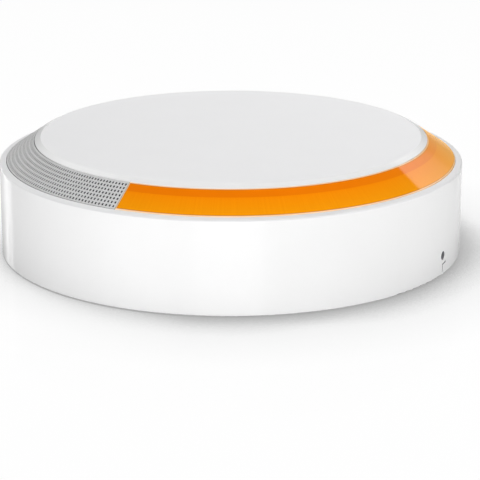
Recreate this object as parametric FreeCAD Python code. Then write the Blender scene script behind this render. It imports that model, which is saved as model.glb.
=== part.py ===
import FreeCAD, Part
import math
import os
from FreeCAD import Vector

# Outdoor alarm siren, in millimetres, +Z up. It lies on its back as on a table: z = 0 is the wall plane,
# the origin is the centre of the back, and -Y is the edge that points down on the wall.

ORIGIN = Vector(0, 0, 0)
UP = Vector(0, 0, 1)

# Housing outside
body_radius = 100.0
side_height = 39.5
shell_wall = 3.0
rear_gap = 0.3
lip_rise = 0.8
foot_round = 0.6
rim_round = 0.8
lip_round = 0.3

# Cap
cap_bevel_width = 2.65
cap_bevel_drop = 1.25
cap_bevel_round = 1.5
cap_edge_thickness = 0.35
cap_crown = 0.1
cap_thickness = 2.0
overall_height = 50.0
cap_rib_width = 1.4
cap_relief_taper = 1.0
cap_inner_rib_radius = 30.0
cap_rib_to_post = 8.0
cap_post_radius = 2.0
cap_post_margin = 10.5
cap_post_count = 6
cap_post_length = 4.2

# Sloping ring: the lens is one half, the grille the other
ring_width = 12.25
ring_below_cap = 0.05
ring_gap = 0.15
ring_joint_gap = 0.25
ring_edge_round = 0.3
lens_span = 181.0
lens_wall = 2.4
ring_flange_width = 5.75
ring_flange_thickness = 1.9
ring_skirt_wall = 2.2
lens_band_width = 4.05
lens_rib_inset = 1.0
lens_rib_depth = 6.0

# Grille slots
grille_wall = 1.8
slot_rows = 7
slot_pitch = 1.6
slot_first_margin = 1.45
slot_cutter_height = 7.0
slot_length = 1.05
slot_width = 0.8
slot_step = 1.02
slot_columns = 5
slot_end_margin = 0.2

# Insect screen
screen_thickness = 0.6
screen_gap = 0.15
screen_inner_margin = 1.25
screen_outer_margin = 2.8

# Shell deck under the ring and top disc under the cap
deck_level = 33.0
deck_thickness = 2.0
deck_blind_wall = 0.6
inner_wall_margin = 0.5
inner_wall_thickness = 2.5
top_disc_thickness = 2.0
top_disc_reach = 1.5
top_disc_blind_wall = 1.1
seat_gap = 0.1
cap_socket_wall = 2.0

# Rear chassis
chassis_level = 13.0
chassis_thickness = 2.2
fit_gap = 0.3
seal_width = 2.0
seal_height = 1.5
ledge_width = 3.4
ledge_height = 2.4
boss_radius = 4.0
boss_margin = 9.0
boss_count = 6

# Screws: M3 shank and head
screw_shank_radius = 1.5
screw_hole_radius = 1.6
screw_head_radius = 2.8
screw_head_height = 2.2
screw_socket_radius = 1.25
screw_socket_depth = 1.2
screw_grip = 9.0
screw_end_room = 1.0
screw_end_gap = 0.5

# Main board
board_level = 21.0
board_thickness = 1.6
board_margin = 15.0
board_edge_y = -3.0
standoff_radius = 3.5
board_screw_grip = 4.0
board_screw_margin = 9.5
board_screw_angles = (6.3, 37.2, 90.0, 142.8, 173.7)

# Sounder
sounder_y = 28.0
sounder_wall = 2.0
sounder_bottom = 25.0
sounder_step_height = 2.0
sounder_step_width = 3.0
disc_radius = 25.0
disc_clear = 1.0
disc_thickness = 0.5
ceramic_radius = 17.0
ceramic_thickness = 0.3
clamp_ring_width = 4.5
clamp_spare = 0.6
clamp_ring_height = 1.6
ear_radius = 4.0
ear_reach = 3.0
ear_height = 4.0
ear_boss_height = 4.15
ear_screw_grip = 4.0
ear_angles = (215.0, 325.0, 148.0, 32.0)
ear_boss_gap = 0.2

# Sound horn from the sounder to the grille chamber
horn_above_deck = 1.6
horn_below_disc = 1.85
horn_wall = 1.3
horn_throat_half = 14.0
horn_mouth_half = 27.0
horn_end_margin = 1.3
horn_clear = 0.3
horn_seat_gap = 0.2

# Battery box, two by two cells
cell_radius = 8.5
cell_length = 33.3
cell_nub_radius = 3.25
cell_nub_length = 1.2
cell_gap = 1.6
box_y = -28.0
box_contact_room = 5.0
box_wall = 1.8
box_side_gap = 1.2
box_top_clear = 1.5
cell_axis_level = 25.0
cradle_clear = 0.3
cradle_thickness = 2.0
cradle_offsets = (8.0, 27.0)
cradle_above_axis = 2.0
contact_thickness = 0.4
contact_width = 12.0
contact_stud_radius = 3.0

# Battery cover
cover_thickness = 2.2
cover_overlap = 5.0
cover_tab = 7.0
cover_cradle_rise = 3.0
cover_rib_clear = 1.0
cover_seal_margin = 1.2
cover_seal_width = 1.6
cover_seal_height = 1.0
cover_corner = 4.0
cover_screw_inset = 4.5
cover_screw_y = 15.0
cover_screw_grip = 7.0

# Wall plate
plate_thickness = 2.5
plate_rim_width = 3.0
plate_rim_height = 6.0
plate_side_gap = 0.6
plate_rib_height = 5.0
window_clear = 3.0
window_corner = 6.0
wall_slot_radius = 2.25
wall_slot_length = 10.0
wall_slot_x = 62.0
wall_slot_margin = 11.5
wall_boss_wall = 2.5
wall_boss_height = 4.5
lug_half_width = 6.0
lug_depth = 8.0
lug_top_gap = 0.5
snap_angles = (45.0, 135.0, 225.0, 315.0)
snap_width = 10.0
snap_thickness = 1.8
snap_height = 11.5
snap_hook_reach = 1.9
snap_hook_height = 2.5
snap_hook_lead = 0.4
snap_hook_nose = 0.6
catch_reach = 2.0
catch_level = 6.2
catch_height = 2.0
catch_half_angle = 5.0
tear_radius = 11.0
tear_slot_width = 1.5
tear_bridge_angle = 16.0
tear_bridge_count = 3
tear_first_bridge = 30.0
tear_margin = 22.4
plate_rib_width = 1.8

# Closure screw behind the hole in the side wall
closure_level = 8.7
closure_hole_radius = 1.9
closure_boss_radius = 4.0
closure_boss_length = 5.5
closure_screw_length = 6.0
closure_recess = 2.4
closure_socket_radius = 1.0
closure_socket_depth = 1.8
insert_radius = 2.4
insert_length = 4.8
lug_gap = 0.5
lug_bore_radius = 1.8
lug_bore_depth = 6.0
lug_notch_clear = 1.5

# Engraved L-shaped mark under the closure hole
mark_depth = 0.4
mark_width = 0.8
mark_height = 4.4
mark_foot = 3.0
mark_foot_rise = 0.5
mark_tick_radius = 0.5
mark_tick_depth = 0.8

# Tamper plunger, its spring and switch
tamper_beside = 10.0
tamper_y = 22.0
tamper_rod_radius = 2.5
tamper_travel = 3.0
tamper_collar_radius = 4.0
tamper_collar_height = 1.5
tamper_bush_radius = 5.0
tamper_bush_depth = 3.5
tamper_clear = 0.25
tamper_plate_hole = 4.5
switch_cavity_radius = 4.4
switch_half = 6.0
switch_height = 9.0
switch_roof = 1.5
spring_turns = 5
spring_wire_radius = 0.25
spring_radius = 3.0

# Pairing button on the rear
button_beside = 10.0
button_access_gap = 2.0
button_y = 22.0
button_radius = 5.0
button_clear = 0.3
button_travel = 0.8
button_proud = 1.0
button_flange_radius = 6.2
button_flange_height = 1.0
button_stem_radius = 1.7
button_switch_half = 3.0
button_switch_height = 2.0
button_actuator_radius = 1.5
button_actuator_height = 0.5

# Pressure vent
vent_to_screw = 10.5
vent_radius = 3.0
vent_cap = 0.6
vent_flange_radius = 6.0
vent_flange_height = 1.5
vent_grip = 2.0

# Flash board, LEDs and reflector
flash_board_inner_margin = 3.7
flash_board_outer_margin = 3.4
flash_board_thickness = 1.2
flash_end_margin = 3.0
led_count = 14
led_side = 5.0
led_height = 1.6
led_base_height = 1.0
led_dome_radius = 1.9
led_window_gap = 0.5
reflector_wall = 0.9
reflector_height = 6.0
reflector_lean = 1.6
reflector_inset = 0.8
screw_window_gap = 0.4
flash_screw_count = 5
flash_screw_grip = 1.0

# Electronic parts on the main board
radio_size = (13.0, 22.0, 3.0)
radio_margin = 21.0
radio_y = 23.0
radio_round = 0.6
chip_height = 1.6
chip_places = ((12.0, 34.0, 9.0), (-14.0, 24.0, 7.0), (16.0, 10.0, 6.0), (-16.0, 6.0, 5.0))
capacitor_radius = 5.0
capacitor_length = 12.0
capacitor_margin = 22.0
capacitor_rows = (18.0, 29.5)
transformer_size = (13.0, 13.0, 10.0)
transformer_margin = 17.0
transformer_angle = 52.0
transformer_core_end = 2.5
transformer_neck = 3.0
transformer_coil_proud = 0.8
antenna_margin = 4.0
antenna_height = 7.5
antenna_thickness = 0.4
antenna_angles = (135.0, 165.0)
antenna_leg = 3.0
antenna_leg_span = 2.0

# Leads and their plugs
lead_radius = 0.9
lead_bend_share = 0.45
lead_into_wall = 1.0
lead_into_board = 0.3
lead_gap = 0.2
plug_size = (6.0, 5.0, 4.5)
battery_exit_inset = 3.0
battery_exit_rise = 4.0
battery_plug_reach = 22.0
battery_lead_straight = 8.0
battery_lead_turn = 14.0
battery_lead_lift = 3.0
battery_lead_crest = 9.0
sounder_lead_low = 11.0
sounder_lead_out = 3.8
sounder_lead_aside = 1.0
sounder_lead_lift = 1.0
sounder_lead_crest = 3.0
sounder_lead_rise = 6.0
sounder_plug_gap = 6.0
sounder_plug_y = 6.0
flash_lead_y = -6.0
flash_lead_inset = 2.0
flash_plug_inset = 14.0
flash_lead_drop = 3.0
flash_lead_out = 4.0
flash_lead_aside = 3.0
flash_lead_sag = 2.5
flash_lead_crest = 2.8
flash_plug_y = 2.0

# Joined shapes of one solid run into each other by an overlap, and cutters run past the faces they open
overlap = 0.5
cut_past = 1.0
touch_gap = 0.02
close_gap = 0.05

os.makedirs("parts", exist_ok=True)

# Radii that follow from those above
shell_inner = body_radius - shell_wall
chassis_radius = shell_inner - fit_gap
plate_radius = shell_inner - plate_side_gap
boss_circle = shell_inner - boss_margin
cap_edge_radius = shell_inner - ring_width
ring_outer = shell_inner - ring_gap
ring_inner = cap_edge_radius + 2 * ring_gap
ring_flange_inner_radius = cap_edge_radius - ring_flange_width
inner_wall_radius = ring_flange_inner_radius - inner_wall_margin
lens_rib_outer_radius = cap_edge_radius + lens_band_width
slot_first_radius = cap_edge_radius + slot_first_margin
screen_inner_radius = cap_edge_radius + screen_inner_margin
screen_outer_radius = shell_inner - screen_outer_margin
cap_post_circle = inner_wall_radius - cap_post_margin
cap_rib_radii = (cap_inner_rib_radius, cap_post_circle - cap_rib_to_post)
flash_board_inner = inner_wall_radius + flash_board_inner_margin
flash_board_outer = shell_inner - flash_board_outer_margin
led_circle = (flash_board_inner + flash_board_outer) / 2
board_radius = shell_inner - board_margin
board_screw_circle = board_radius - board_screw_margin
antenna_circle = board_radius - antenna_margin
sounder_radius = disc_radius + disc_clear + sounder_wall
ear_circle = sounder_radius + ear_reach

# Heights that follow from those above
lip_height = side_height + lip_rise
cap_edge_top = overall_height - cap_crown - cap_bevel_drop
ring_slope = (cap_edge_top - ring_below_cap - lip_height) / ring_width
flange_top = cap_edge_top - cap_edge_thickness - ring_gap
flange_bottom = flange_top - ring_flange_thickness
top_disc_level = flange_bottom - seat_gap
top_disc_under = top_disc_level - top_disc_thickness
cap_under = overall_height - cap_crown - cap_thickness
chassis_top = chassis_level + chassis_thickness
board_top = board_level + board_thickness
deck_under = deck_level - deck_thickness
flash_board_level = deck_level + seat_gap
ear_level = top_disc_under - ear_boss_height - ear_height
horn_level = deck_level + horn_above_deck
horn_height = top_disc_under - horn_below_disc - horn_wall - horn_level
box_top = cell_axis_level + cell_radius + box_top_clear
cover_top = chassis_level - seat_gap
cover_bottom = cover_top - cover_thickness

# Places that follow from those above
box_half_x = cell_length + cell_nub_length + box_contact_room + cell_gap / 2
box_half_y = 2 * cell_radius + cell_gap / 2 + box_side_gap
cover_half_x = box_half_x + cover_overlap + cover_tab
cover_half_y = box_half_y + cover_overlap
cover_screw_x = cover_half_x - cover_screw_inset
tamper_x = -sounder_radius - tamper_beside
button_x = sounder_radius + button_beside
vent_y = board_screw_circle - vent_to_screw
horn_end_y = inner_wall_radius - horn_end_margin
flash_lead_x = flash_board_inner - flash_lead_inset
wall_slot_y = math.sqrt((plate_radius - wall_slot_margin) ** 2 - wall_slot_x ** 2)
tear_y = plate_radius - tear_margin
lug_outer = -shell_inner + closure_boss_length + lug_gap


def ring_height(radius):
    """Height of the sloping ring's outer face at a radius."""
    return lip_height + (shell_inner - radius) * ring_slope


def tube(outer, inner, low, high, x=0.0, y=0.0):
    """An upright tube, or a rod when inner is 0."""
    body = Part.makeCylinder(outer, high - low, Vector(x, y, low))
    if inner > 0:
        body = body.cut(Part.makeCylinder(inner, high - low, Vector(x, y, low)))
    return body


def box(x0, x1, y0, y1, z0, z1):
    """A box given by its two ends along each axis."""
    return Part.makeBox(x1 - x0, y1 - y0, z1 - z0, Vector(x0, y0, z0))


def round_box(half_x, half_y, low, high, corner, y=0.0):
    """A plate centred on x = 0 with rounded upright corners."""
    plate = box(-half_x, half_x, y - half_y, y + half_y, low, high)
    upright = [e for e in plate.Edges if abs(e.Vertexes[0].Z - e.Vertexes[-1].Z) > (high - low) / 2]
    return plate.makeFillet(corner, upright)


def closed_outline(points):
    """A wire through (radius, height) points. A third value is the radius that rounds its corner."""
    runs = []
    for k, point in enumerate(points):
        around_corner = (points[k - 1], point, points[(k + 1) % len(points)])
        before, corner, after = (Vector(p[0], 0, p[1]) for p in around_corner)
        if len(point) == 2:
            runs.append((corner, corner, None))
            continue
        back = (before - corner).normalize()
        ahead = (after - corner).normalize()
        half = back.getAngle(ahead) / 2
        reach = point[2] / math.tan(half)
        middle = corner + (back + ahead).normalize() * point[2] * (1 / math.sin(half) - 1)
        runs.append((corner + back * reach, corner + ahead * reach, middle))
    edges = []
    for k, (enter, leave, middle) in enumerate(runs):
        if middle is not None:
            edges.append(Part.Arc(enter, middle, leave).toShape())
        edges.append(Part.makeLine(leave, runs[(k + 1) % len(runs)][0]))
    return Part.Wire(edges)


def turned(points, start=0.0, span=360.0):
    """A closed outline of (radius, height) points turned about the Z axis, from an angle over a span."""
    face = Part.Face(closed_outline(points))
    face.rotate(ORIGIN, UP, start)
    return face.revolve(ORIGIN, UP, span)


def around(shape, angle):
    """A copy turned about the Z axis."""
    copy = shape.copy()
    copy.rotate(ORIGIN, UP, angle)
    return copy


def at(shape, x, y, z=0.0):
    """A copy moved by an offset."""
    copy = shape.copy()
    copy.translate(Vector(x, y, z))
    return copy


def polar(radius, angle):
    """The x and y of a point at a radius and an angle in degrees."""
    return radius * math.cos(math.radians(angle)), radius * math.sin(math.radians(angle))


def join(first, *others):
    """One solid from several that touch or overlap."""
    return first.fuse(list(others)).removeSplitter()


def save(name, *shapes):
    """Write one node; several shapes stay separate solids."""
    shape = shapes[0] if len(shapes) == 1 else Part.makeCompound(list(shapes))
    solids = shape.Solids
    node = solids[0] if len(solids) == 1 else Part.makeCompound(solids)
    if not node.isValid():
        print("invalid", name)
    node.exportStep("parts/" + name + ".step")
    print(name, len(solids), round(node.Volume / 1000, 2))


def screw(head_low, shank_length, x=0.0, y=0.0, head_up=False):
    """A pan-head socket screw along Z. head_low is the head's lower face; the shank runs away from it."""
    head_high = head_low + screw_head_height
    head = tube(screw_head_radius, 0, head_low, head_high, x, y)
    if head_up:
        shank = tube(screw_shank_radius, 0, head_low - shank_length, head_low, x, y)
        socket = tube(screw_socket_radius, 0, head_high - screw_socket_depth, head_high, x, y)
    else:
        shank = tube(screw_shank_radius, 0, head_high, head_high + shank_length, x, y)
        socket = tube(screw_socket_radius, 0, head_low, head_low + screw_socket_depth, x, y)
    return join(head, shank).cut(socket)


def boss_angles():
    """Angles of the chassis screws, clear of the closure screw at -Y."""
    return [360.0 * k / boss_count for k in range(boss_count)]


def ear_places():
    """Centres of the sounder's screw ears."""
    places = []
    for angle in ear_angles:
        x, y = polar(ear_circle, angle)
        places.append((x, sounder_y + y))
    return places


def lead(points):
    """A round lead along straight runs joined by arcs over a share of the shorter run."""
    places = [Vector(*p) for p in points]
    edges = []
    start = places[0]
    for before, corner, after in zip(places, places[1:], places[2:]):
        into = corner - before
        out = after - corner
        turn = into.getAngle(out)
        trim = lead_bend_share * min(into.Length, out.Length)
        into.normalize()
        out.normalize()
        first = corner - into * trim
        last = corner + out * trim
        radius = trim / math.tan(turn / 2)
        centre_way = (out - into).normalize()
        middle = corner + centre_way * (radius / math.cos(turn / 2) - radius)
        edges.append(Part.LineSegment(start, first).toShape())
        edges.append(Part.Arc(first, middle, last).toShape())
        start = last
    edges.append(Part.LineSegment(start, places[-1]).toShape())
    path = Part.Wire(edges)
    ring = Part.Wire([Part.makeCircle(lead_radius, places[0], places[1] - places[0])])
    return path.makePipeShell([ring], True, True)


# Cap

def make_cap():
    edge_low = cap_edge_top - cap_edge_thickness
    relief = inner_wall_radius
    points = [(0, overall_height),
              (cap_edge_radius - cap_bevel_width, overall_height - cap_crown, cap_bevel_round),
              (cap_edge_radius, cap_edge_top), (cap_edge_radius, edge_low), (relief, edge_low),
              (relief - cap_relief_taper, cap_under), (0, cap_under)]
    cap = turned(points)
    extras = []
    for radius in cap_rib_radii:
        extras.append(tube(radius, radius - cap_rib_width, top_disc_level + seat_gap, cap_under + overlap))
    for k in range(cap_post_count):
        x, y = polar(cap_post_circle, 360.0 * k / cap_post_count)
        extras.append(tube(cap_post_radius, 0, cap_under - cap_post_length, cap_under + overlap, x, y))
    save("top_cap", join(cap, *extras))


# Sloping ring

def ring_outline(wall, rib):
    """Section of the lens or grille: face, flange under the cap, skirt down to the deck."""
    drop = wall * math.sqrt(1 + ring_slope ** 2)
    skirt_inner = ring_outer - ring_skirt_wall
    low = deck_level + seat_gap
    face = [(ring_outer, ring_height(ring_outer), ring_edge_round), (ring_inner, ring_height(ring_inner)),
            (ring_inner, flange_top), (ring_flange_inner_radius, flange_top),
            (ring_flange_inner_radius, flange_bottom)]
    if rib:
        rib_low = ring_height(lens_rib_outer_radius) - lens_rib_depth
        rib_inner = ring_inner - lens_rib_inset
        inner = [(rib_inner, flange_bottom), (rib_inner, rib_low), (lens_rib_outer_radius, rib_low),
                 (lens_rib_outer_radius, ring_height(lens_rib_outer_radius) - drop)]
    else:
        meet = shell_inner - (flange_bottom + drop - lip_height) / ring_slope
        inner = [(meet, flange_bottom)]
    outer = [(skirt_inner, ring_height(skirt_inner) - drop), (skirt_inner, low), (ring_outer, low)]
    return face + inner + outer


def make_lens():
    gap = math.degrees(ring_joint_gap / 2 / ring_outer)
    start = -90 - lens_span / 2 + gap
    save("flash_lens", turned(ring_outline(lens_wall, True), start, lens_span - 2 * gap))


def make_grille():
    """The slotted ring half. One sector is cut, its faces are repeated and closed into one solid."""
    gap = math.degrees(ring_joint_gap / 2 / ring_outer)
    span = 360 - lens_span - 2 * gap
    start = -90 + lens_span / 2 + gap
    room = span - 2 * slot_end_margin
    sectors = round(room / (slot_columns * slot_step))
    sector_angle = room / sectors
    outline = ring_outline(grille_wall, False)
    blank = turned(outline, 0, sector_angle)
    cutters = []
    for column in range(slot_columns):
        for row in range(slot_rows):
            radius = slot_first_radius + row * slot_pitch
            top = ring_height(radius) + slot_pitch
            cutter = box(radius - slot_length / 2, radius + slot_length / 2, -slot_width / 2, slot_width / 2,
                         top - slot_cutter_height, top)
            cutters.append(around(cutter, (column + 0.5) * sector_angle / slot_columns))
    sector = blank.cut(Part.makeCompound(cutters)).Solids[0]

    def on_plane(face, angle):
        normal = Vector(-math.sin(math.radians(angle)), math.cos(math.radians(angle)), 0)
        flat = face.Surface.TypeId == "Part::GeomPlane"
        return flat and all(abs(v.Point.dot(normal)) < 1e-6 for v in face.Vertexes)

    skin = [f for f in sector.Faces if not on_plane(f, 0) and not on_plane(f, sector_angle)]
    first = start + slot_end_margin
    faces = [around(f, first + k * sector_angle) for k in range(sectors) for f in skin]
    for piece_start, plane_angle in ((start, 0), (first + room, slot_end_margin)):
        plain = turned(outline, 0, slot_end_margin)
        ends = [f for f in plain.Faces if not on_plane(f, slot_end_margin - plane_angle)]
        faces += [around(f, piece_start) for f in ends]
    solid = Part.makeSolid(Part.Shell(faces))
    if solid.Volume < 0:
        solid.reverse()
    save("sound_grille", solid)
    return start, span


def make_screen(start, span):
    drop = grille_wall * math.sqrt(1 + ring_slope ** 2) + screen_gap
    inner, outer = screen_inner_radius, screen_outer_radius
    points = [(inner, ring_height(inner) - drop), (outer, ring_height(outer) - drop),
              (outer, ring_height(outer) - drop - screen_thickness),
              (inner, ring_height(inner) - drop - screen_thickness)]
    save("insect_screen", turned(points, start, span))


# Housing shell

def make_shell():
    wall = turned([(shell_inner, rear_gap), (body_radius, rear_gap, foot_round),
                   (body_radius, side_height, rim_round), (shell_inner, lip_height, lip_round)])
    deck = tube(shell_inner + overlap, inner_wall_radius - inner_wall_thickness, deck_under, deck_level)
    inner = tube(inner_wall_radius, inner_wall_radius - inner_wall_thickness, deck_under, top_disc_level)
    disc = tube(ring_flange_inner_radius + top_disc_reach, 0, top_disc_under, top_disc_level)
    ledge_low = chassis_top + seal_height + seat_gap
    ledge = tube(shell_inner + overlap, shell_inner - ledge_width, ledge_low, ledge_low + ledge_height)
    extras = [deck, inner, disc, ledge]
    for angle in boss_angles():
        x, y = polar(boss_circle, angle)
        extras.append(tube(boss_radius, 0, chassis_top + seat_gap, deck_under + overlap, x, y))
    for k in range(cap_post_count):
        x, y = polar(cap_post_circle, 360.0 * k / cap_post_count)
        low = cap_under - cap_post_length - cap_socket_wall
        extras.append(tube(cap_post_radius + cap_socket_wall, 0, low, top_disc_under + overlap, x, y))
    ear_boss_low = ear_level + ear_height + ear_boss_gap
    for x, y in ear_places():
        extras.append(tube(boss_radius, 0, ear_boss_low, top_disc_under + overlap, x, y))
    catch_inner = shell_inner - catch_reach
    catch_outer = shell_inner + overlap
    catch_top = catch_level + catch_height
    for angle in snap_angles:
        extras.append(turned([(catch_outer, catch_level), (catch_outer, catch_top), (catch_inner, catch_top),
                              (catch_inner, catch_level)], angle - catch_half_angle, 2 * catch_half_angle))
    closure = Part.makeCylinder(closure_boss_radius, closure_boss_length + overlap,
                                Vector(0, -shell_inner - overlap, closure_level), Vector(0, 1, 0))
    extras.append(closure)
    shell = join(wall, *extras)
    cuts = []
    for angle in boss_angles():
        x, y = polar(boss_circle, angle)
        cuts.append(tube(screw_hole_radius, 0, chassis_top, chassis_top + screw_grip + screw_end_room, x, y))
    for k in range(cap_post_count):
        x, y = polar(cap_post_circle, 360.0 * k / cap_post_count)
        low = cap_under - cap_post_length - fit_gap
        cuts.append(tube(cap_post_radius + seat_gap, 0, low, top_disc_level, x, y))
    for x, y in ear_places():
        cuts.append(tube(screw_hole_radius, 0, ear_level, top_disc_level - top_disc_blind_wall, x, y))
    cuts.append(tube(sounder_radius + fit_gap, 0, ear_level, top_disc_under, 0, sounder_y))
    cuts.append(Part.makeCylinder(closure_hole_radius, shell_wall + closure_boss_length + 2 * cut_past,
                                  Vector(0, -body_radius - cut_past, closure_level), Vector(0, 1, 0)))
    insert_start = -shell_inner + closure_boss_length - insert_length
    cuts.append(Part.makeCylinder(insert_radius, insert_length + cut_past,
                                  Vector(0, insert_start, closure_level), Vector(0, 1, 0)))
    window_half = horn_mouth_half + horn_wall + horn_clear
    wall_at_window = math.sqrt((inner_wall_radius - inner_wall_thickness) ** 2 - window_half ** 2)
    cuts.append(box(-window_half, window_half, wall_at_window - cut_past, inner_wall_radius + cut_past,
                    horn_level - horn_wall - horn_clear, horn_level + horn_height + horn_wall + horn_clear))
    cuts.append(tube(lead_radius + 2 * lead_gap, 0, deck_under - cut_past, deck_level + cut_past,
                     flash_lead_x, flash_lead_y))
    for k in range(flash_screw_count):
        x, y = flash_screw_place(k)
        cuts.append(tube(screw_hole_radius, 0, deck_under + deck_blind_wall, deck_level, x, y))
    mark_low = rear_gap - cut_past
    front = -body_radius - cut_past
    back = -body_radius + mark_depth
    cuts.append(box(-mark_width / 2, mark_width / 2, front, back, mark_low, mark_height))
    hook = box(-mark_width / 2, mark_foot, front, back, mark_height, mark_height + mark_width)
    hook_slope = math.degrees(math.atan(mark_foot_rise / mark_foot))
    hook.rotate(Vector(0, 0, mark_height), Vector(0, 1, 0), -hook_slope)
    cuts.append(hook)
    cuts.append(Part.makeCylinder(mark_tick_radius, cut_past + mark_tick_depth,
                                  Vector(mark_foot, front, mark_height + mark_foot_rise + mark_width / 2),
                                  Vector(0, 1, 0)))
    save("housing_shell", shell.cut(cuts).removeSplitter())


def flash_screw_place(k):
    """Centres of the flash board's screws, between the LEDs."""
    first, step = led_angles()
    gap_index = (k + 1) * led_count // (flash_screw_count + 1)
    return polar(led_circle, first + step * (gap_index - 0.5))


def led_angles():
    """Angle of the first LED and the step between LEDs."""
    step = (lens_span - 2 * flash_end_margin) / led_count
    return -90 - lens_span / 2 + flash_end_margin + step / 2, step


# Rear chassis

def make_chassis():
    floor = tube(chassis_radius, 0, chassis_level, chassis_top)
    tray = box(-box_half_x - box_wall, box_half_x + box_wall, box_y - box_half_y - box_wall,
               box_y + box_half_y + box_wall, chassis_top - overlap, box_top + box_wall)
    extras = [tray]
    for x, y in board_screw_places():
        extras.append(tube(standoff_radius, 0, chassis_top - overlap, board_level - seat_gap, x, y))
    for sx in (-1, 1):
        for sy in (-1, 1):
            extras.append(tube(boss_radius, 0, chassis_top - overlap,
                               chassis_top + cover_screw_grip + screw_end_room,
                               sx * cover_screw_x, box_y + sy * cover_screw_y))
    extras.append(tube(tamper_bush_radius, 0, chassis_level - tamper_bush_depth, chassis_level + overlap,
                       tamper_x, tamper_y))
    chassis = join(floor, *extras)
    inside = box(-box_half_x, box_half_x, box_y - box_half_y, box_y + box_half_y,
                 chassis_level - cut_past, box_top)
    chassis = chassis.cut(inside)
    cradles = []
    for sx in (-1, 1):
        for offset in cradle_offsets:
            x = sx * offset
            cradles.append(box(x - cradle_thickness / 2, x + cradle_thickness / 2,
                               box_y - box_half_y - overlap, box_y + box_half_y + overlap,
                               cell_axis_level + cradle_above_axis, box_top + overlap))
    hollows = []
    for sy in (-1, 1):
        y = box_y + sy * (cell_radius + cell_gap / 2)
        hollows.append(Part.makeCylinder(cell_radius + cradle_clear, 2 * box_half_x,
                                         Vector(-box_half_x, y, cell_axis_level), Vector(1, 0, 0)))
    cradle = Part.makeCompound(cradles).cut(hollows)
    chassis = join(chassis, *cradle.Solids)
    cuts = []
    for angle in boss_angles():
        x, y = polar(boss_circle, angle)
        cuts.append(tube(screw_hole_radius, 0, chassis_level - cut_past, chassis_top + cut_past, x, y))
    for x, y in board_screw_places():
        cuts.append(tube(screw_hole_radius, 0, board_level - board_screw_grip, board_level + cut_past, x, y))
    for sx in (-1, 1):
        for sy in (-1, 1):
            cuts.append(tube(screw_hole_radius, 0, chassis_level - cut_past,
                             chassis_level + cover_screw_grip + screw_end_room,
                             sx * cover_screw_x, box_y + sy * cover_screw_y))
    cuts.append(tube(tamper_rod_radius + tamper_clear, 0, 0, board_level, tamper_x, tamper_y))
    cuts.append(tube(button_radius + button_clear, 0, chassis_level - cut_past, chassis_top + cut_past,
                     button_x, button_y))
    cuts.append(tube(vent_radius + seat_gap, 0, chassis_level - cut_past, chassis_top + cut_past, 0, vent_y))
    x, y, z = battery_exit()
    cuts.append(Part.makeCylinder(lead_radius + lead_gap, 2 * (box_wall + cut_past),
                                  Vector(x, y - box_wall - cut_past, z),
                                  Vector(0, 1, 0)))
    save("rear_chassis", chassis.cut(cuts).removeSplitter())


def battery_exit():
    """Where the battery lead leaves the battery box, in its wall towards the main board."""
    return box_half_x - battery_exit_inset, box_y + box_half_y + box_wall / 2, board_top + battery_exit_rise


def make_seal_and_screws():
    outer = shell_inner - fit_gap
    save("housing_seal", tube(outer, outer - seal_width, chassis_top + seat_gap / 2,
                              chassis_top + seal_height))
    screws = []
    for angle in boss_angles():
        x, y = polar(boss_circle, angle)
        screws.append(screw(chassis_level - screw_head_height, screw_grip + chassis_thickness, x, y))
    save("chassis_screws", *screws)
    flange_high = chassis_level - seat_gap
    flange_low = flange_high - vent_flange_height
    grip = tube(vent_radius, 0, flange_high - overlap, chassis_top + vent_grip, 0, vent_y)
    flange = tube(vent_flange_radius, 0, flange_low, flange_high, 0, vent_y)
    bore = tube(vent_radius / 2, 0, flange_low + vent_cap, chassis_top + vent_grip, 0, vent_y)
    save("pressure_vent", join(flange, grip).cut(bore))


# Battery cells, contacts and cover

def make_battery():
    cells = []
    contacts = []
    nub = cell_nub_length
    for sy in (-1, 1):
        y = box_y + sy * (cell_radius + cell_gap / 2)
        for sx in (-1, 1):
            start = Vector(sx * cell_gap / 2, y, cell_axis_level)
            way = Vector(sx, 0, 0)
            body = Part.makeCylinder(cell_radius, cell_length, start, way)
            tip_start = start + way * cell_length
            tip = Part.makeCylinder(cell_nub_radius, nub, tip_start, way)
            cells.append(join(body, tip))
            tip_end = abs(tip_start.x) + nub
            room = box_half_x - tip_end
            stud = Part.makeCylinder(contact_stud_radius, room - contact_thickness - seat_gap,
                                     Vector(sx * (tip_end + seat_gap), y, cell_axis_level), way)
            inner = sx * (box_half_x - contact_thickness)
            outer = sx * (box_half_x - touch_gap)
            plate = box(min(inner, outer), max(inner, outer), y - contact_width / 2, y + contact_width / 2,
                        cell_axis_level - contact_width / 2, cell_axis_level + contact_width / 2)
            contacts.append(join(plate, stud))
        contacts.append(box(-cell_gap / 2 + seat_gap, cell_gap / 2 - seat_gap, y - contact_width / 2,
                            y + contact_width / 2, cell_axis_level - contact_width / 2,
                            box_top - seat_gap))
    save("battery_cells", *cells)
    save("battery_contacts", *contacts)


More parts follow.
